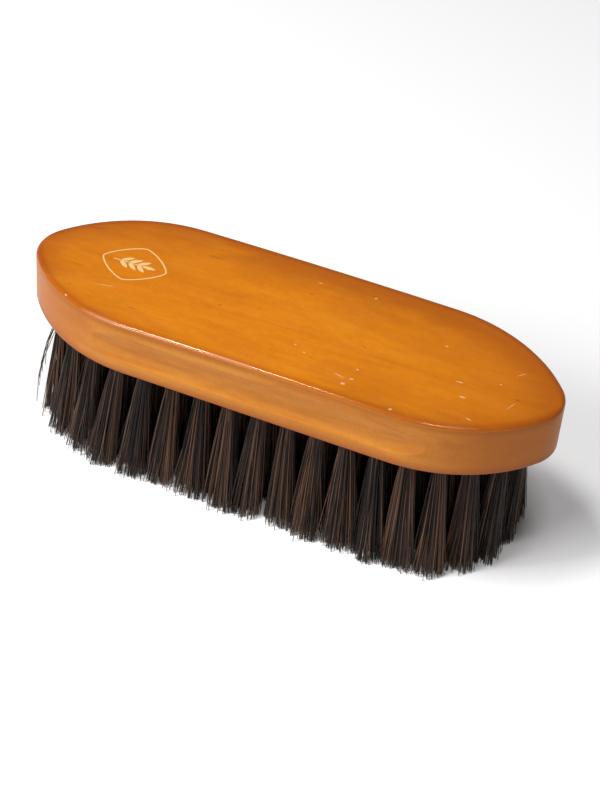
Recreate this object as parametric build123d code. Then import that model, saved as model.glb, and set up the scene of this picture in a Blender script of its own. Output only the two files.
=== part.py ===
"""Clothes brush: a varnished wooden back, filled with tufts of bristle that wire staples hold.

Millimetres, +Z up. The brush stands on its trimmed bristles: z = 0 is the bristle tips, and the
origin is under the middle of the back. X runs along the brush and Y across it.
"""

from build123d import *
import math
import os

# The wooden back.
BACK_LENGTH = 205.0
BACK_WIDTH = 68.0
BACK_THICKNESS = 22.5
SHOULDER_RADIUS = 60.0  # seen from above, between the straight sides and the ends
NOSE_RADIUS = 16.0  # rounding of each end, seen from above
CROWN_DROP = 1.6  # how far the back's top falls from its middle to each end
TOP_ROUND = 1.5
UNDERSIDE_ROUND = 1.5

# The finger grooves, one along each side, milled in a straight line so that they run out where
# the shoulders curve away.
GROOVE_RADIUS = 11.5  # of the milling cutter
GROOVE_DEPTH = 1.5
GROOVE_ROUND = 0.8  # softening of a groove's edge

# The drilled holes and how they are set out.
TRIM_LENGTH = 47.0  # bristle left standing below the back
HOLE_DIAMETER = 5.0
TOP_COVER = 2.9  # wood left above the staples' points where the crown is lowest
SIDE_INSET = 8.0  # from the back's long sides to the centres of the outer ring of holes
END_INSET = 12.5  # the same, from the back's two ends
RING_SHOULDER_RADIUS = 55.0
RING_NOSE_RADIUS = 18.0
RING_HOLES = 36  # a multiple of four, so that both ends and both sides match
ROW_PITCH = 10.4  # between the holes of a rank across the back, before they are evened out
LEAST_SPACING = 9.5  # an inner hole any nearer than this to the outer ring is left out

# The tufts.
TUFT_CLEARANCE = 0.05  # between a tuft's root and the wall of its hole
TIP_GAP = 0.3  # between neighbouring tufts at their tips
SIDE_SPLAY = 5.2  # how far the tips of the outer tufts on the long sides stand out past their holes
CORNER_SPLAY = 7.6  # the same towards the ends, for a tuft at a corner of the box round the holes
END_TUCK = 2.2  # how far the tips of the two end tufts stand back from the ends

# The staples, which are bent from round wire.
WIRE_DIAMETER = 0.7
STAPLE_WIDTH = 3.6  # over the outsides of the legs
STAPLE_BEND = 0.6  # radius of each bend, at the middle of the wire
FOLD_THICKNESS = 1.3  # bristle folded between the staple's crown and the hole's floor
LEG_BITE = 5.0  # how far the legs go into the wood past the hole's floor

underside = TRIM_LENGTH
top = underside + BACK_THICKNESS
hole_depth = BACK_THICKNESS - CROWN_DROP - TOP_COVER - LEG_BITE
hole_floor = underside + hole_depth
groove_z = underside + BACK_THICKNESS / 2
groove_half_width = math.sqrt(2 * GROOVE_RADIUS * GROOVE_DEPTH - GROOVE_DEPTH**2)


def oval(length, width, shoulder_radius, nose_radius):
    """A long oval: two straight sides, a shoulder arc at each corner and a nose at each end.

    A shoulder and a nose meet on the line through their centres, so they share a tangent there.
    Their centres are the difference of their radii apart, and that sets where the straights end.
    """
    side_y = width / 2
    shoulder_y = side_y - shoulder_radius
    run = math.sqrt((shoulder_radius - nose_radius) ** 2 - shoulder_y**2)
    nose_x = length / 2 - nose_radius
    shoulder_x = nose_x - run
    join = math.degrees(math.atan2(-shoulder_y, run))
    turn = 90 - join
    return Wire(
        [
            Line((0, side_y), (shoulder_x, side_y)).edge(),
            CenterArc((shoulder_x, shoulder_y), shoulder_radius, 90, -turn).edge(),
            CenterArc((nose_x, 0), nose_radius, join, -2 * join).edge(),
            CenterArc((shoulder_x, -shoulder_y), shoulder_radius, -join, -turn).edge(),
            Line((shoulder_x, -side_y), (-shoulder_x, -side_y)).edge(),
            CenterArc((-shoulder_x, -shoulder_y), shoulder_radius, -90, -turn).edge(),
            CenterArc((-nose_x, 0), nose_radius, 180 + join, -2 * join).edge(),
            CenterArc((-shoulder_x, shoulder_y), shoulder_radius, 180 - join, -turn).edge(),
            Line((-shoulder_x, side_y), (0, side_y)).edge(),
        ]
    )


def hole_ranks():
    """Hole centres, one list for each rank across the back, from the -X end to the +X end.

    The outer ring's holes are evenly spaced round the back. Each pair that face each other across
    the back begin and end a rank, and the holes between them are spread evenly.
    """
    length = BACK_LENGTH - 2 * END_INSET
    width = BACK_WIDTH - 2 * SIDE_INSET
    ring = oval(length, width, RING_SHOULDER_RADIUS, RING_NOSE_RADIUS)
    stations = [tuple(ring.position_at(i / RING_HOLES))[:2] for i in range(RING_HOLES)]
    reach = RING_HOLES // 4
    ranks = []
    for rank in range(-reach, reach + 1):
        # Station 0 is at the middle of the +Y side, and the count goes round towards +X.
        x, far_y = stations[rank % RING_HOLES]
        near_y = stations[(RING_HOLES // 2 - rank) % RING_HOLES][1]
        gaps = round((far_y - near_y) / ROW_PITCH)
        centres = [(x, far_y)]
        for i in range(1, gaps):
            centre = (x, far_y + (near_y - far_y) * i / gaps)
            if min(math.dist(centre, station) for station in stations) >= LEAST_SPACING:
                centres.append(centre)
        if gaps > 0:
            centres.append((x, near_y))
        ranks.append(centres)
    return ranks


def tip_centre(x, y):
    """The middle of a tuft's tips. Tufts are pushed outwards by those behind them.

    Across the brush, the lean is in proportion to the distance from the middle line. Along it, the
    lean is in proportion to the distance from the middle, and grows from a tuck to a splay with
    the distance from the middle line.
    """
    ring_x = BACK_LENGTH / 2 - END_INSET
    ring_y = BACK_WIDTH / 2 - SIDE_INSET
    lean_x = (CORNER_SPLAY * abs(y) / ring_y - END_TUCK) * x / ring_x
    return x + lean_x, y + SIDE_SPLAY * y / ring_y


def tuft_tip_radius(ranks):
    """Half the closest spacing of any two tufts' tips, less half the gap between them."""
    centres = [tip_centre(x, y) for rank in ranks for x, y in rank]
    closest = min(math.dist(a, b) for i, a in enumerate(centres) for b in centres[:i])
    return (closest - TIP_GAP) / 2


def wire_staple():
    """A staple with its crown down, its legs up in the wood and one leg to each side of the tuft."""
    leg_y = (STAPLE_WIDTH - WIRE_DIAMETER) / 2
    crown_z = hole_floor - FOLD_THICKNESS - WIRE_DIAMETER / 2
    leg_end = hole_floor + LEG_BITE
    corners = [(0, -leg_y, leg_end), (0, -leg_y, crown_z), (0, leg_y, crown_z), (0, leg_y, leg_end)]
    path = FilletPolyline(*corners, radius=STAPLE_BEND)
    section = Plane(origin=corners[0], z_dir=(0, 0, -1)) * Circle(WIRE_DIAMETER / 2)
    return sweep(section, path=path)


def bristle_tuft(x, y, tip_radius, staple):
    """A tuft: a root that fills its hole and is folded round its staple, flaring to trimmed tips."""
    mouth = Pos(x, y, underside) * Circle(HOLE_DIAMETER / 2 - TUFT_CLEARANCE)
    tips = Pos(*tip_centre(x, y), 0) * Circle(tip_radius)
    return extrude(mouth, hole_depth) + loft([tips, mouth]) - Pos(x, y, 0) * staple


def on_groove(edge):
    """Whether an edge lies on the outline of a finger groove, and so nowhere above or below it."""
    reach = edge.bounding_box()
    margin = groove_half_width + GROOVE_ROUND / 2
    return groove_z - margin < reach.min.Z and reach.max.Z < groove_z + margin


def wooden_back(ranks, staple):
    """The back: an oval block crowned along its length, with a finger groove along each side.

    It is drilled from below for every tuft, and its staples' legs have bitten into the wood.
    """
    outline = make_face(oval(BACK_LENGTH, BACK_WIDTH, SHOULDER_RADIUS, NOSE_RADIUS))
    blank = extrude(Plane.XY.offset(underside) * outline, BACK_THICKNESS)
    crown_radius = ((BACK_LENGTH / 2) ** 2 + CROWN_DROP**2) / (2 * CROWN_DROP)
    crown = Pos(0, 0, top - crown_radius) * Rot(90, 0, 0) * Cylinder(crown_radius, BACK_WIDTH)
    block = blank & crown
    upper_edges = block.edges().filter_by(lambda e: e.bounding_box().min.Z > hole_floor)
    block = fillet(upper_edges, TOP_ROUND)
    lower_edges = block.edges().filter_by(lambda e: e.bounding_box().max.Z < hole_floor)
    block = fillet(lower_edges, UNDERSIDE_ROUND)
    cutter_y = BACK_WIDTH / 2 - GROOVE_DEPTH + GROOVE_RADIUS
    cutter = Rot(0, 90, 0) * Cylinder(GROOVE_RADIUS, BACK_LENGTH)
    block = block - [Pos(0, side * cutter_y, groove_z) * cutter for side in (-1, 1)]
    block = fillet(block.edges().filter_by(on_groove), GROOVE_ROUND)
    drill_radius = HOLE_DIAMETER / 2
    drill = Pos(0, 0, underside + hole_depth / 2) * Cylinder(drill_radius, hole_depth)
    cuts = [Pos(x, y, 0) * tool for rank in ranks for x, y in rank for tool in (drill, staple)]
    return block - cuts


ranks = hole_ranks()
staple = wire_staple()
tip_radius = tuft_tip_radius(ranks)

os.makedirs("parts", exist_ok=True)
export_step(wooden_back(ranks, staple), "parts/wooden_back.step")
for number, centres in enumerate(ranks, start=1):
    tufts = [bristle_tuft(x, y, tip_radius, staple) for x, y in centres]
    staples = [Pos(x, y, 0) * staple for x, y in centres]
    export_step(Compound(tufts), f"parts/bristle_rank_{number:02d}.step")
    export_step(Compound(staples), f"parts/staple_rank_{number:02d}.step")
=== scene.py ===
"""Clothes brush: a varnished wooden back filled with stapled tufts of stiff bristle.

Metres, +Z up. The brush lies along X and stands on its trimmed bristle tips, at z = 0.
"""

import bpy
import math
import numpy as np
from mathutils import Matrix, Vector


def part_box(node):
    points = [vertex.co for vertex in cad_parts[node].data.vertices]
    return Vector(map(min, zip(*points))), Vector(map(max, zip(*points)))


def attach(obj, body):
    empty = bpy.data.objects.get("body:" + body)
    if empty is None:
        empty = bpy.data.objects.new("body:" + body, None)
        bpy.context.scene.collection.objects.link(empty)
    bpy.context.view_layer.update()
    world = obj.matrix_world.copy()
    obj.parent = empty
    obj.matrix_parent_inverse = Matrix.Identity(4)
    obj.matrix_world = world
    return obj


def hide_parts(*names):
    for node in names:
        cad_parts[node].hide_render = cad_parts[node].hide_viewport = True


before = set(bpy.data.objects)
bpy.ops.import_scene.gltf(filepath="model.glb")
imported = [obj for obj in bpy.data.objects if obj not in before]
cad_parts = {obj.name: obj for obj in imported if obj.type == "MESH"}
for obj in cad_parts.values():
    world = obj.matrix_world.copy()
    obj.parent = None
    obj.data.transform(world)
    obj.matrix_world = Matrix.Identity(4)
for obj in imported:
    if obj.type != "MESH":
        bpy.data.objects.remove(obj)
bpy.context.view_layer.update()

# ---- The camera ----
# It looks down on the brush's near side from well above, a little from the right, and is held
# slightly turned. The lens is a short telephoto.
MM = 0.001
CAMERA_AZIMUTH = math.radians(19.6)
CAMERA_ELEVATION = math.radians(40.0)
CAMERA_ROLL = math.radians(-5.48)
CAMERA_DISTANCE = 701 * MM
LENS = 87.8
AIM_RIGHT = 5.2 * MM
AIM_DOWN = 29.7 * MM
CLIP_START = 10 * MM

back_low, back_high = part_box("wooden_back")
back_top = back_high.z


def place_camera():
    """The eye stands off the middle of the back's top, then shifts sideways and down.

    Right and up are the level and upward directions turned by the roll: each is the cosine times
    one of the two, less or plus the sine times the other.
    """
    across = Vector((math.cos(CAMERA_AZIMUTH), math.sin(CAMERA_AZIMUTH), 0))
    level = Vector((math.sin(CAMERA_AZIMUTH), -math.cos(CAMERA_AZIMUTH), 0))
    towards = level * math.cos(CAMERA_ELEVATION) + Vector((0, 0, math.sin(CAMERA_ELEVATION)))
    upward = towards.cross(across)
    right = across * math.cos(CAMERA_ROLL) - upward * math.sin(CAMERA_ROLL)
    up = across * math.sin(CAMERA_ROLL) + upward * math.cos(CAMERA_ROLL)
    eye = Vector((0, 0, back_top)) + towards * CAMERA_DISTANCE
    eye += across * AIM_RIGHT - upward * AIM_DOWN
    data = bpy.data.cameras.new("camera")
    data.lens = LENS
    data.clip_start = CLIP_START
    camera = bpy.data.objects.new("camera", data)
    turn = Matrix((right, up, towards)).transposed().to_4x4()
    camera.matrix_world = Matrix.Translation(eye) @ turn
    bpy.context.scene.collection.objects.link(camera)
    bpy.context.scene.camera = camera


place_camera()

# ---- The floor and the studio light ----
# A plain, almost white floor. Two small lamps hang overhead and put the highlights along the top's
# near edge. A larger one stands at the front left, so the back's right-hand end falls into shade.
FLOOR_HALF = 3.0
FLOOR_TINT = (0.94, 0.94, 0.94, 1)
LAMP_AIM = Vector((0, 0, 0.05))
WORLD_STRENGTH = 0.14


def lamp(name, place, width, height, power):
    """A rectangular area lamp that faces the brush, sized in metres, with its power in watts."""
    data = bpy.data.lights.new(name, "AREA")
    data.shape = "RECTANGLE"
    data.size = width
    data.size_y = height
    data.energy = power
    light = bpy.data.objects.new(name, data)
    light.location = place
    light.rotation_euler = (LAMP_AIM - Vector(place)).to_track_quat("-Z", "Y").to_euler()
    bpy.context.scene.collection.objects.link(light)


def pale_floor():
    """A square at the height of the bristle tips, with a matt, nearly white finish."""
    mesh = bpy.data.meshes.new("floor")
    h = FLOOR_HALF
    mesh.from_pydata([(-h, -h, 0), (h, -h, 0), (h, h, 0), (-h, h, 0)], [], [(0, 1, 2, 3)])
    finish = bpy.data.materials.new("pale_floor")
    finish.use_nodes = True
    shader = finish.node_tree.nodes["Principled BSDF"]
    shader.inputs["Base Color"].default_value = FLOOR_TINT
    shader.inputs["Roughness"].default_value = 0.9
    shader.inputs["Specular IOR Level"].default_value = 0.1
    mesh.materials.append(finish)
    floor = bpy.data.objects.new("floor", mesh)
    bpy.context.scene.collection.objects.link(floor)


pale_floor()
lamp("overhead", (-0.50, -0.25, 1.50), 0.36, 0.30, 13.5)
lamp("overhead_right", (0.22, -0.30, 1.50), 0.34, 0.08, 5.5)
lamp("front_left", (-0.84, -1.01, 0.95), 0.80, 0.60, 18)
world = bpy.data.worlds.new("studio")
world.use_nodes = True
sky = world.node_tree.nodes["Background"].inputs
sky["Color"].default_value = (1, 1, 1, 1)
sky["Strength"].default_value = WORLD_STRENGTH
bpy.context.scene.world = world
bpy.context.scene.view_settings.view_transform = "Standard"

# ---- The wooden back ----
# One block of pale close-grained hardwood, stained orange and varnished. The stain is darker
# round the rim of the top and on the end grain, and use has dented the varnish on top.
STRAIGHT_HALF = 51.0  # from the middle to where the shoulders begin; this finish is in millimetres
SHOULDER_RADIUS = 60.0
CROWN_DROP = 1.6
TOP_TINTS = (  # place along the broad figure, and colour
    (0.28, (0.590, 0.165, 0.001)),
    (0.50, (0.655, 0.199, 0.001)),
    (0.72, (0.690, 0.226, 0.002)),
)
# Sides paler and less saturated than the top: partly own colour, partly painted reflection.
SIDE_TINTS_WITH_SHEEN = (
    (0.32, (0.465, 0.148, 0.018)),
    (0.50, (0.545, 0.197, 0.026)),
    (0.68, (0.600, 0.236, 0.034)),
)
FINE_LINES = ((0.35, (0.52, 0.42, 0.36)), (0.60, (1, 1, 1)))
MOTTLING = ((0.32, (0.72, 0.60, 0.50)), (0.62, (1, 1, 1)))
FLECKS = ((0.34, (0.66, 0.52, 0.42)), (0.58, (1, 1, 1)))
BURST_STAIN = (0.470, 0.128, 0.001)
RIM_STAIN = (0.330, 0.068, 0.001)
END_GRAIN_STAIN = (0.410, 0.118, 0.012)
UPPER_EDGE_STAIN = (0.300, 0.085, 0.010)
# A darker, redder band along the lowest few millimetres of the sides.
LOWER_EDGE_DARKENING = (0.310, 0.074, 0.018)
SPOT_STAIN = (0.200, 0.040, 0.006)
BARE_WOOD = (0.820, 0.560, 0.360)
THROUGH = 1e6  # half the depth of a mark, which runs right through the block
DENTS = (  # x, y, length, width and turn in degrees of each place where the varnish is chipped pale
    (30, -26.5, 1.9, 1.2, 10), (31.8, -22.8, 1.5, 0.8, 20), (27, -23, 5.0, 0.35, -12),
    (31.7, -17, 1.0, 0.8, 0), (65.7, -5.8, 3.2, 0.6, 4), (69.2, -13, 2.6, 0.8, 6),
    (75, -23, 2.6, 0.5, -14), (55, 10.7, 1.0, 0.7, 0), (79, 0.2, 0.9, 0.7, 0),
    (22.5, 24.3, 1.2, 0.9, 0), (1, 23, 2.6, 0.4, 0), (49.5, -31.4, 1.2, 1.0, 0),
    (-78, -26.5, 1.2, 0.7, -30), (-68, -15, 9.0, 0.25, 11), (11.5, -17.3, 0.9, 0.7, 0),
    (84, 9, 4.0, 0.25, 50), (86, -9, 5.0, 0.25, 70), (7, -14.5, 0.8, 0.7, 0),
)
STAINS = (  # the same for each small dark spot and streak in the grain
    (0.7, 15.3, 1.2, 0.8, -40), (-26, -6.5, 1.6, 1.1, 0), (-79.7, -20, 1.3, 0.9, 0),
    (-39.7, 19.3, 7.0, 0.9, 2), (-87, 16, 6.0, 0.9, 14), (-53, -23, 4.0, 0.7, -4),
    (87, -4.8, 1.6, 1.2, 0), (29.5, -4.2, 1.0, 0.8, 0), (-84, -8, 9.0, 0.5, 3),
)
underside = back_low.z


class Nodes:
    """A material's node tree, with short ways to add and join the nodes that the finishes share."""

    def __init__(self, name):
        self.material = bpy.data.materials.new(name)
        self.material.use_nodes = True
        self.tree = self.material.node_tree
        self.shader = self.tree.nodes["Principled BSDF"]

    def feed(self, socket, value):
        """Joins an output to a socket, or sets the socket to a value."""
        if isinstance(value, bpy.types.NodeSocket):
            self.tree.links.new(value, socket)
        else:
            socket.default_value = value

    def add(self, kind, inputs, **settings):
        """A node of one kind. An input is a number, a colour or another node's output."""
        node = self.tree.nodes.new(kind)
        for key, value in settings.items():
            setattr(node, key, value)
        for key, value in inputs.items():
            self.feed(node.inputs[key], value)
        return node

    def maths(self, operation, a, b=0.0):
        """One sum on one or two values."""
        return self.add("ShaderNodeMath", {0: a, 1: b}, operation=operation).outputs[0]

    def plus(self, *terms):
        """The terms added up."""
        total = terms[0]
        for term in terms[1:]:
            total = self.maths("ADD", total, term)
        return total

    def minus(self, a, b):
        """The first value less the second."""
        return self.maths("SUBTRACT", a, b)

    def times(self, a, b):
        """The product of two values."""
        return self.maths("MULTIPLY", a, b)

    def span(self, a, b):
        """The diagonal of a rectangle: the root of the sum of its sides' squares."""
        return self.maths("SQRT", self.plus(self.times(a, a), self.times(b, b)))

    def ramp(self, value, *stops):
        """A blend of colours along a value from 0 to 1, as pairs of place and colour."""
        node = self.add("ShaderNodeValToRGB", {"Fac": value})
        elements = node.color_ramp.elements
        while len(elements) < len(stops):
            elements.new(0.5)
        for element, (place, colour) in zip(elements, stops):
            element.position = place
            element.color = (*colour, 1)
        return node.outputs["Color"]

    def fade(self, value, start, end):
        """0 at start and beyond it, 1 at end and beyond it, eased between."""
        limits = {"Value": value, "From Min": start, "From Max": end}
        node = self.add("ShaderNodeMapRange", limits, interpolation_type="SMOOTHSTEP")
        return node.outputs["Result"]

    def mix(self, share, first, second, how="MIX"):
        """Two colours mixed by a share."""
        node = self.add("ShaderNodeMix", {0: share}, data_type="RGBA", blend_type=how)
        for socket, colour in zip((node.inputs[6], node.inputs[7]), (first, second)):
            linked = isinstance(colour, bpy.types.NodeSocket)
            self.feed(socket, colour if linked else (*colour, 1))
        return node.outputs[2]

    def place(self):
        """The place on the object, in millimetres."""
        source = self.tree.nodes.new("ShaderNodeTexCoord").outputs["Object"]
        inputs = {"Vector": source, "Scale": (1 / MM, 1 / MM, 1 / MM)}
        return self.add("ShaderNodeMapping", inputs).outputs[0]

    def noise(self, place, lump, detail=3.0, rough=0.5, twist=0.0, shift=(0, 0, 0)):
        """Cloudy noise whose lumps are about lump millimetres long along each axis."""
        stretch = tuple(1 / size for size in lump)
        moved = {"Vector": place, "Location": shift, "Scale": stretch}
        inputs = {
            "Vector": self.add("ShaderNodeMapping", moved).outputs[0],
            "Scale": 1.0,
            "Detail": detail,
            "Roughness": rough,
            "Distortion": twist,
        }
        return self.add("ShaderNodeTexNoise", inputs).outputs["Fac"]

    def uneven(self, noise, size):
        """Noise moved to vary about 0, times a size."""
        return self.times(self.minus(noise, 0.5), size)


def marks(n, place, ragged, table):
    """1 on every mark of a table and 0 away from them, seen from above.

    A mark is an ellipse: the texture mapping carries its outline on to the unit circle, and
    ragged noise is added to the distance from the middle.
    """
    nearest = None
    for x, y, length, width, turn in table:
        settings = {
            "Vector": place,
            "Location": (x, y, 0),
            "Rotation": (0, 0, math.radians(turn)),
            "Scale": (length / 2, width / 2, THROUGH),
        }
        spot = n.add("ShaderNodeMapping", settings, vector_type="TEXTURE").outputs[0]
        length_node = n.add("ShaderNodeVectorMath", {0: spot}, operation="LENGTH")
        reach = length_node.outputs["Value"]
        nearest = reach if nearest is None else n.maths("MINIMUM", nearest, reach)
    return n.fade(n.plus(nearest, ragged), 1.15, 0.55)


def varnished_wood():
    """Stained, varnished wood whose figure, stain and wear all follow places on the block."""
    n = Nodes("varnished_wood")
    place = n.place()
    x, y, z = n.add("ShaderNodeSeparateXYZ", {0: place}).outputs
    half_length, half_width = back_high.x / MM, back_high.y / MM
    top_z, under_z = back_top / MM, underside / MM
    far_x = n.maths("ABSOLUTE", x)
    far_y = n.maths("ABSOLUTE", y)
    # How far in from the outline: the shoulder arcs' radius less the distance from their centres.
    past = n.maths("MAXIMUM", n.minus(far_x, STRAIGHT_HALF), 0.0)
    out = n.plus(far_y, SHOULDER_RADIUS - half_width)
    inset = n.minus(SHOULDER_RADIUS, n.span(past, out))
    # Depth below the crowned top, which falls with the square of the distance from the middle.
    crown = n.times(n.times(x, x), CROWN_DROP / half_length**2)
    depth = n.minus(n.minus(top_z, z), crown)
    side = n.fade(depth, 0.35, 1.5)
    upward = n.minus(1.0, side)

    # Figure: broad bands along the block, fine lines, and soft blotches where the stain took.
    broad = n.noise(place, (70, 11, 8), twist=0.9)
    fleck = n.noise(place, (0.9, 5.5, 3.0), rough=0.65)
    fine = n.noise(place, (17, 0.8, 0.7), rough=0.6)
    blotch = n.noise(place, (34, 15, 12), detail=4, rough=0.62, twist=0.5, shift=(3.1, 1.7, 0))
    mottle = n.noise(place, (4.5, 2.6, 2.2), rough=0.6)
    # The sides take their paler colours, which carry a painted reflection of the surroundings.
    wood = n.mix(side, n.ramp(broad, *TOP_TINTS), n.ramp(broad, *SIDE_TINTS_WITH_SHEEN))
    wood = n.mix(0.13, wood, n.ramp(fine, *FINE_LINES), "MULTIPLY")
    wood = n.mix(0.22, wood, n.ramp(mottle, *MOTTLING), "MULTIPLY")
    wood = n.mix(0.13, wood, n.ramp(fleck, *FLECKS), "MULTIPLY")

    # A burst of paler wood, left of the middle and towards the near side, inside darker stain.
    off_x = n.times(n.plus(x, 8.0), 1 / 90)
    off_y = n.times(n.plus(y, 10.0), 1 / 42)
    away = n.plus(n.span(off_x, off_y), n.uneven(blotch, 1.5))
    stained = n.times(n.fade(away, 0.20, 1.25), upward)
    wood = n.mix(n.times(stained, 0.75), wood, BURST_STAIN)
    # Stain: gathered round the rim of the top, and deeper towards the far side and the ends.
    ends = n.maths("POWER", n.times(far_x, 1 / half_length), 4.0)
    bias = n.plus(n.times(y, 0.28), n.times(x, 0.02), n.times(ends, 4.0), n.uneven(blotch, 22.0))
    wide_rim = n.times(n.fade(n.minus(inset, bias), 15.0, -4.0), 0.75)
    narrow_rim = n.times(n.fade(inset, 4.0, 1.2), 0.50)
    rim = n.times(n.plus(wide_rim, narrow_rim), n.times(upward, 0.85))
    wood = n.mix(rim, wood, RIM_STAIN)
    # End grain drinks more stain, so the sides darken where the outline turns across the grain.
    turned = n.times(n.fade(far_x, 58.0, 88.0), side)
    wood = n.mix(n.times(turned, 0.85), wood, END_GRAIN_STAIN)
    # A darker line under the top's edge, and a redder one round the underside's.
    high = n.times(n.fade(depth, 4.4, 1.0), side)
    wood = n.mix(n.times(high, 0.62), wood, UPPER_EDGE_STAIN)
    low = n.fade(z, under_z + 5.2, under_z + 0.4)
    wood = n.mix(n.times(low, 0.78), wood, LOWER_EDGE_DARKENING)

    # Small dark spots, and pale chips through the stain.
    ragged = n.uneven(n.noise(place, (0.7, 0.7, 0.7), detail=2), 1.5)
    flat_top = n.minus(1.0, n.fade(depth, 1.2, 1.6))
    spots = n.times(marks(n, place, ragged, STAINS), flat_top)
    wood = n.mix(n.times(spots, 0.42), wood, SPOT_STAIN)
    chips = n.times(marks(n, place, ragged, DENTS), flat_top)
    wood = n.mix(n.times(chips, 0.62), wood, BARE_WOOD)

    # Varnish: brush drag and fine dimples, with the chips let into it.
    dull = n.noise(place, (24, 7, 7), detail=2, shift=(0.7, 2.3, 0))
    drag = n.noise(place, (9, 2.2, 2.2), detail=2)
    dimples = n.noise(place, (1.1, 1.1, 1.1), detail=2)
    height = n.plus(n.times(drag, 0.75), n.times(dimples, 0.22), n.times(chips, -0.5))
    relief = {"Height": height, "Strength": 0.30, "Distance": 0.12 * MM}
    inputs = n.shader.inputs
    n.feed(inputs["Base Color"], wood)
    n.feed(inputs["Roughness"], n.plus(0.36, n.times(mottle, 0.16)))
    n.feed(inputs["Normal"], n.add("ShaderNodeBump", relief).outputs["Normal"])
    # Hands have worn the varnish thin round the sides.
    n.feed(inputs["Coat Weight"], n.plus(0.85, n.times(side, -0.71)))
    n.feed(inputs["Coat Roughness"], n.plus(0.06, n.times(n.fade(dull, 0.46, 0.60), 0.30)))
    inputs["Specular IOR Level"].default_value = 0.08
    return n.material


def refinish(node, material):
    """Gives a node of the frame one material."""
    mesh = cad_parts[node].data
    mesh.materials.clear()
    mesh.materials.append(material)


refinish("wooden_back", varnished_wood())

# ---- The emblem ----
# A thin cream transfer near one end of the top: a plain sprig of leaves in a rounded lozenge. It
# is printed on the stained wood and lies under the last coat of varnish.
EMBLEM_X = -64.5 * MM
EMBLEM_Y = 1.5 * MM
LOZENGE_LENGTH = 25.5 * MM
LOZENGE_WIDTH = 21.0 * MM
LOZENGE_SQUARENESS = 1.35  # 1 is a plain lozenge and 2 an ellipse
FRAME_LINE = 0.55 * MM
STEM_LENGTH = 17.0 * MM
STEM_LINE = 0.45 * MM
LEAF_LENGTH = 5.4 * MM
LEAF_WIDTH = 1.7 * MM
LEAF_TURN = math.radians(38)
INK_PROUD = 0.03 * MM
INK_SUNK = 0.06 * MM
INK_TINTS = ((0.3, (0.68, 0.40, 0.14)), (0.6, (0.80, 0.54, 0.23)))
LEAF_PAIRS = 3
FIRST_PAIR = 0.16  # of the way up the stem, and the step to the next pair
PAIR_STEP = 0.20


def crown_height(x):
    """The top's height over x: the top of the back less x squared over twice the crown's radius."""
    crown_radius = back_high.x**2 / (2 * CROWN_DROP * MM)
    return back_top - x**2 / (2 * crown_radius)


def inked_stroke(path, widths, closed):
    """A flat stroke of ink along a path on the crowned top, as vertices and faces.

    The path's sideways direction is its tangent turned a quarter. At each of its points lie four
    corners: half a width to either side, and a little above and below the wood. Quads join
    corners to corners along the path, and the two ends meet or are capped.
    """
    tangent = np.roll(path, -1, 0) - np.roll(path, 1, 0) if closed else np.gradient(path, axis=0)
    tangent /= np.linalg.norm(tangent, axis=1)[:, None]
    sideways = np.stack([-tangent[:, 1], tangent[:, 0]], axis=1) * (widths / 2)[:, None]
    left, right = path + sideways, path - sideways
    low = np.full(len(path), -INK_SUNK)
    high = np.full(len(path), INK_PROUD)
    corners = [(left, low), (right, low), (right, high), (left, high)]
    rows = [np.column_stack([flat, crown_height(flat[:, 0]) + lift]) for flat, lift in corners]
    verts = np.stack(rows, axis=1).reshape(-1, 3)
    index = np.arange(len(path) * 4).reshape(-1, 4)
    ahead = np.roll(index, -1, axis=0)
    here, there = (index, ahead) if closed else (index[:-1], ahead[:-1])
    quads = [here, np.roll(here, -1, 1), np.roll(there, -1, 1), there]
    faces = np.stack(quads, axis=2).reshape(-1, 4)
    if not closed:
        faces = np.concatenate([faces, index[:1, ::-1], index[-1:]])
    return verts, faces


def leaf(base, turn):
    """A leaf from its base point: a short stroke, its width a power of half a sine wave."""
    t = np.linspace(0, 1, 15)
    along = np.array([math.cos(turn), math.sin(turn)])
    widths = LEAF_WIDTH * np.maximum(np.sin(math.pi * t) ** 0.8, 0.08)
    return inked_stroke(base + along * (t * LEAF_LENGTH)[:, None], widths, False)


def emblem_strokes():
    """The lozenge, and inside it a stem with pairs of leaves and one leaf at its tip.

    On the lozenge, x over half its length and y over half its width, each raised to the power of
    its squareness, add up to 1.
    """
    middle = np.array([EMBLEM_X, EMBLEM_Y])
    turn = np.linspace(0, math.tau, 120, endpoint=False)
    power = 2 / LOZENGE_SQUARENESS
    unit = np.column_stack([np.cos(turn), np.sin(turn)])
    halves = np.array([LOZENGE_LENGTH / 2, LOZENGE_WIDTH / 2])
    outline = halves * np.sign(unit) * np.abs(unit) ** power
    strokes = [inked_stroke(middle + outline, np.full(len(outline), FRAME_LINE), True)]
    foot = middle - (STEM_LENGTH / 2, 0)
    stem = foot + np.column_stack([np.linspace(0, STEM_LENGTH - LEAF_LENGTH, 12), np.zeros(12)])
    strokes.append(inked_stroke(stem, np.full(len(stem), STEM_LINE), False))
    strokes.append(leaf(stem[-1], 0))
    for pair in range(LEAF_PAIRS):
        base = foot + (STEM_LENGTH * (FIRST_PAIR + PAIR_STEP * pair), 0)
        strokes += [leaf(base, LEAF_TURN), leaf(base, -LEAF_TURN)]
    return strokes


def transfer_ink():
    """Cream ink, slightly thin and uneven, under a coat of varnish."""
    n = Nodes("emblem_ink")
    thin = n.noise(n.place(), (0.5, 0.5, 0.5), rough=0.6)
    n.feed(n.shader.inputs["Base Color"], n.ramp(thin, *INK_TINTS))
    n.shader.inputs["Roughness"].default_value = 0.45
    n.shader.inputs["Coat Weight"].default_value = 0.5
    n.shader.inputs["Coat Roughness"].default_value = 0.08
    return n.material


def joined(name, pieces):
    """One mesh of several sets of vertices and faces."""
    starts = np.cumsum([0] + [len(verts) for verts, _ in pieces[:-1]])
    faces = np.concatenate([faces + start for (_, faces), start in zip(pieces, starts)])
    mesh = bpy.data.meshes.new(name)
    mesh.from_pydata(np.concatenate([verts for verts, _ in pieces]), [], faces.tolist())
    mesh.update()
    return mesh


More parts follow.
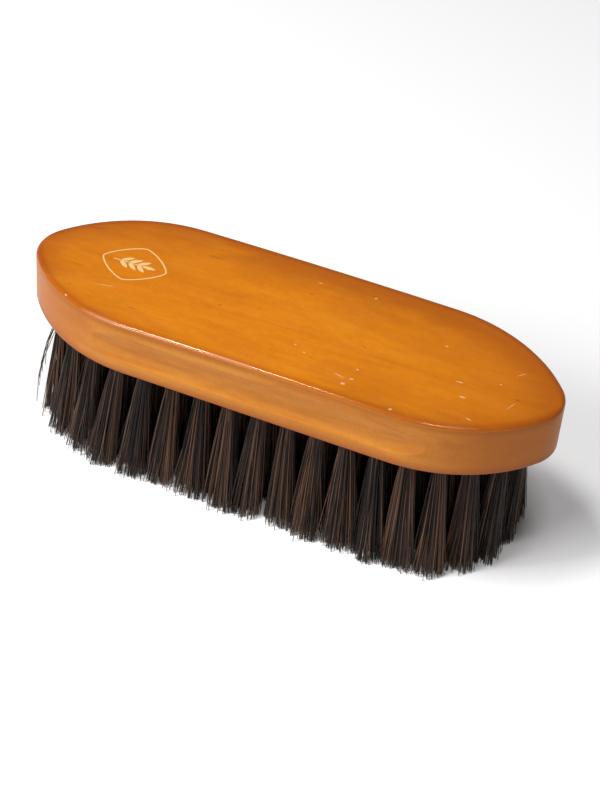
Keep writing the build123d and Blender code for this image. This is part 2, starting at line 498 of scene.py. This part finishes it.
def add_piece(mesh, material):
    """A piece that belongs to the brush, with one material."""
    mesh.materials.append(material)
    piece = bpy.data.objects.new(mesh.name, mesh)
    bpy.context.scene.collection.objects.link(piece)
    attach(piece, "root")
    return piece


add_piece(joined("sprig_emblem", emblem_strokes()), transfer_ink())

# ---- The staples ----
# Bright drawn wire, one staple at the bottom of each hole. The tufts and the wood hide them all,
# so they keep the frame's meshes and only take a finish.
WIRE_TINTS = ((0.3, (0.42, 0.41, 0.38)), (0.7, (0.66, 0.64, 0.60)))


def staple_wire():
    """Drawn steel wire with faint lengthwise die marks."""
    n = Nodes("staple_wire")
    die_marks = n.noise(n.place(), (1, 1, 5), detail=2)
    n.feed(n.shader.inputs["Base Color"], n.ramp(die_marks, *WIRE_TINTS))
    n.shader.inputs["Metallic"].default_value = 1.0
    n.shader.inputs["Roughness"].default_value = 0.35
    return n.material


wire_finish = staple_wire()
ranks = sorted(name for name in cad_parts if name.startswith("bristle_rank_"))
for name in ranks:
    refinish(name.replace("bristle", "staple"), wire_finish)

# ---- The bristle tufts ----
# Stiff natural bristle, black mixed with brown. Each tuft leaves its drilled hole as a tight
# round bundle and fans out until it meets its neighbours, and all are trimmed to one level.
BRISTLES_PER_TUFT = 190
BRISTLE_RADIUS = 0.185 * MM
TIP_THINNING = 0.75  # a bristle's thickness at its tip, as a share of that at its root
ROOT_SPREAD = 2.2 * MM
ROOT_DEPTH = 3.0 * MM
TIP_SPREAD = np.array([7.2, 6.4]) * MM  # along the brush and across it
LEAN_SPREAD = 0.7 * MM  # how far the middle of a tuft's tips strays at random
BOW = 0.30 * MM  # how far a bristle bows at half its length
FLARE = 0.95  # below 1, a tuft opens quickest where it leaves its hole
WANDER = 0.15  # how far a tip strays from its root's place in the bundle, as a share of the spread
WISPS = 18
WISP_PULL = 0.28
STRAY_SHARE = 0.08
STRAY_WANDER = 0.9
STRAY_REACH = 1.2
TRIM_ERROR = 0.30 * MM
SHORT_SHARE = 0.06  # of the bristles end higher up, and the next by how much on average
SHORT_BY = 1.6 * MM
STATIONS = 5  # points along a bristle below its hole
SIDES = 4
BROWN_SHARE = 0.50
BROWN_LOCKS = 5
LOCK_REACH = 0.35  # as a share of the bundle's radius
SHADES = (
    (0.0, (0.012, 0.009, 0.008)),
    (0.42, (0.026, 0.019, 0.017)),
    (0.52, (0.060, 0.034, 0.023)),
    (1.0, (0.185, 0.098, 0.056)),
)
ROOT_SHADOW = ((0.0, (0.60, 0.57, 0.54)), (0.30, (0.92, 0.90, 0.88)), (1.0, (1.0, 1.0, 1.0)))
SHADE_STRIPS = 64
SAME_LEVEL = 0.1 * MM
ROOT_GAP = 2 * MM  # the wood between two roots is wider than this
FIRST_SEED = 100
LOOSE_RANK = 1
LOOSE_BRISTLES = 6
LOOSE_MOUTH = (-1.2 * MM, -1.6 * MM)
LOOSE_REACH = (-11.5 * MM, -3.0 * MM)
LOOSE_LIFT = 1 * MM


def tuft_places(node):
    """The middles of a rank's tufts, at the holes' floors and at the tips, as pairs of points.

    Each end of the rank's mesh is cut into tufts at the widest gaps across the brush, as many of
    them as there are wide gaps between the roots.
    """
    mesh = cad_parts[node].data
    places = np.empty(len(mesh.vertices) * 3)
    mesh.vertices.foreach_get("co", places)
    places = places.reshape(-1, 3)
    ends = []
    for level in (places[:, 2].max(), 0):
        flat = places[np.abs(places[:, 2] - level) < SAME_LEVEL][:, :2]
        flat = flat[flat[:, 1].argsort()]
        steps = np.diff(flat[:, 1])
        gaps = len(ends[0]) - 1 if ends else (steps > ROOT_GAP).sum()
        groups = np.split(flat, np.sort(steps.argsort()[len(steps) - gaps :]) + 1)
        ends.append([(group.min(axis=0) + group.max(axis=0)) / 2 for group in groups])
    return list(zip(*ends))


def disc(rng, count):
    """Points spread evenly over a disc of radius 1.

    Each lies the square root of a random number out from the middle, at a random turn.
    """
    reach = np.sqrt(rng.random(count))
    turn = rng.random(count) * math.tau
    return np.stack([reach * np.cos(turn), reach * np.sin(turn)], axis=1)


def tuft_lines(rng, centre, tip_centre):
    """Each bristle's points from inside its hole to its tip, for one tuft.

    A tip is its root's place in the bundle times the tuft's spread, moved part of the way to the
    nearest wisp and part of the way to a random place, round the middle of the tips.
    Its distance from the middle over the fourth root of the sum of its fourth powers makes the
    round bundle squarer, since its neighbours press on it from four sides. Between mouth and tip
    the place goes with a power of the way down, plus a bow that is a parabola.
    """
    count = BRISTLES_PER_TUFT
    root = disc(rng, count)
    wisps = disc(rng, WISPS)
    nearest = np.linalg.norm(root[:, None] - wisps[None], axis=2).argmin(axis=1)
    gathered = root + WISP_PULL * (wisps[nearest] - root)
    stray = rng.random(count) < STRAY_SHARE
    loose = np.where(stray, STRAY_WANDER, WANDER)[:, None]
    reach = np.where(stray, STRAY_REACH, 1.0)[:, None]
    tip = gathered * (1 - loose) + disc(rng, count) * loose * reach
    tip *= (np.linalg.norm(tip, axis=1) / (tip**4).sum(axis=1) ** 0.25)[:, None]
    middle = tip_centre + rng.normal(0, LEAN_SPREAD, 2)
    tip = middle + tip * TIP_SPREAD * rng.uniform(0.93, 1.05)
    mouth = centre + root * ROOT_SPREAD
    t = np.linspace(0, 1, STATIONS)
    bow = rng.normal(0, BOW, (count, 2))
    flat = mouth[:, None] + (tip - mouth)[:, None] * (t**FLARE)[None, :, None]
    flat = flat + bow[:, None] * (4 * t * (1 - t))[None, :, None]
    trimmed = np.abs(rng.normal(0, TRIM_ERROR, count))
    trimmed += rng.exponential(SHORT_BY, count) * (rng.random(count) < SHORT_SHARE)
    height = underside + (trimmed - underside)[:, None] * t[None]
    body = np.concatenate([flat, height[:, :, None]], axis=2)
    inside = np.concatenate([mouth, np.full((count, 1), underside + ROOT_DEPTH)], axis=1)
    return np.concatenate([inside[:, None], body], axis=1), root


def loose_lock(rng, centre):
    """The few bristles that have worked loose from one tuft, from inside its hole to their tips.

    Between mouth and tip the way out from the tuft is a sine, so a lock first springs outwards.
    """
    count = LOOSE_BRISTLES
    flat = centre + LOOSE_MOUTH + rng.normal(0, 0.5 * MM, (count, 2))
    mouth = np.column_stack([flat, np.full(count, underside)])
    reach = np.linspace(0.55, 1.0, count)[:, None]
    longest = np.array([*LOOSE_REACH, LOOSE_LIFT - underside])
    way = (longest + rng.normal(0, 0.7 * MM, (count, 3))) * reach
    t = np.linspace(0, 1, STATIONS)[None, :, None]
    out = np.concatenate([np.sin(t * math.pi / 2), np.sin(t * math.pi / 2), t], axis=2)
    body = mouth[:, None] + way[:, None] * out
    return np.concatenate([mouth[:, None] + (0, 0, ROOT_DEPTH), body], axis=1)


def tuft_shades(rng, root):
    """Each bristle's shade from 0, black, to 1, brown. Brown bristles keep together in locks.

    The chance of brown falls off with the exponential of the distance to the nearest lock.
    """
    locks = disc(rng, BROWN_LOCKS)
    distance = np.linalg.norm(root[:, None] - locks[None], axis=2).min(axis=1)
    closeness = np.exp(-distance / LOCK_REACH)
    chance = closeness * 0.7 + rng.random(len(root)) * 0.8
    brown = chance > np.quantile(chance, 1 - BROWN_SHARE * rng.uniform(0.7, 1.3))
    browns = rng.uniform(0.5, 1.0, len(root))
    return np.where(brown, browns, rng.uniform(0.0, 0.42, len(root)))


def bristle_mesh(name, lines, shades, rng):
    """A thin tapering tube along each line, closed at both ends.

    Each line carries the same number of points. A ring of SIDES corners lies level round each
    point, quads join ring to ring, and one face closes each end. Across the map, each bristle
    takes the narrow strip of its shade, and up the map goes the way from root to tip.
    """
    count, stations = lines.shape[:2]
    thickness = BRISTLE_RADIUS * rng.uniform(0.75, 1.25, count)
    along = np.concatenate([[0], np.linspace(0, 1, stations - 1)])
    radius = thickness[:, None] * (1 - (1 - TIP_THINNING) * along[None])
    turn = rng.random(count)[:, None] * math.tau + np.arange(SIDES)[None] * math.tau / SIDES
    ring = np.stack([np.cos(turn), np.sin(turn), np.zeros_like(turn)], axis=2)
    verts = lines[:, :, None] + radius[:, :, None, None] * ring[:, None]
    index = np.arange(count * stations * SIDES).reshape(count, stations, SIDES)
    after = np.roll(index, -1, axis=2)
    # Lines run downwards, so this order turns the walls outwards.
    quads = [index[:, :-1], index[:, 1:], after[:, 1:], after[:, :-1]]
    walls = np.stack(quads, axis=3).reshape(-1, 4)
    faces = np.concatenate([walls, index[:, 0], index[:, -1, ::-1]])

    strip = 1 / SHADE_STRIPS
    left = (shades * (1 - strip))[:, None, None] + strip * np.arange(SIDES)[None, None] / SIDES
    left = np.broadcast_to(left, (count, stations - 1, SIDES))
    right = left + strip / SIDES
    upper = np.broadcast_to(along[:-1][None, :, None], left.shape)
    lower = np.broadcast_to(along[1:][None, :, None], left.shape)
    corners = [(left, upper), (left, lower), (right, lower), (right, upper)]
    wall_map = np.stack([np.stack(corner, axis=3) for corner in corners], axis=3).reshape(-1, 2)
    square = np.array([(0, 0), (1, 0), (1, 1), (0, 1)]) * strip
    end_place = np.stack([shades * (1 - strip), np.zeros(count)], axis=1)
    root_map = (end_place[:, None] + square[None]).reshape(-1, 2)
    tip_map = (end_place[:, None] + square[None] + (0, 1 - strip)).reshape(-1, 2)
    uv = np.concatenate([wall_map, root_map, tip_map])

    mesh = bpy.data.meshes.new(name)
    mesh.from_pydata(verts.reshape(-1, 3), [], faces.tolist())
    layer = mesh.uv_layers.new(name="OFBake")
    layer.data.foreach_set("uv", uv.ravel().astype(np.float32))
    smooth = np.concatenate([np.ones(len(walls), bool), np.zeros(2 * count, bool)])
    mesh.polygons.foreach_set("use_smooth", smooth)
    mesh.update()
    return mesh


def bristle_finish():
    """Bristle whose colour goes from black to brown across the map, and is darker at the root."""
    n = Nodes("bristle")
    map_place = n.tree.nodes.new("ShaderNodeUVMap")
    map_place.uv_map = "OFBake"
    shade, along, _ = n.add("ShaderNodeSeparateXYZ", {0: map_place.outputs[0]}).outputs
    colour = n.mix(1.0, n.ramp(shade, *SHADES), n.ramp(along, *ROOT_SHADOW), "MULTIPLY")
    n.feed(n.shader.inputs["Base Color"], colour)
    n.shader.inputs["Roughness"].default_value = 0.42
    n.shader.inputs["Specular IOR Level"].default_value = 0.22
    return n.material


bristle_material = bristle_finish()
for number, name in enumerate(ranks):
    rng = np.random.default_rng(FIRST_SEED + number)
    lines = []
    shades = []
    places = tuft_places(name)
    for centre, tip_centre in places:
        tuft, root = tuft_lines(rng, centre, tip_centre)
        lines.append(tuft)
        shades.append(tuft_shades(rng, root))
    if number == LOOSE_RANK:
        lines.append(loose_lock(rng, places[0][0]))
        shades.append(rng.uniform(0, 1, LOOSE_BRISTLES))
    title = name.replace("bristle", "tufts")
    mesh = bristle_mesh(title, np.concatenate(lines), np.concatenate(shades), rng)
    tufts = add_piece(mesh, bristle_material)
    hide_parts(name)
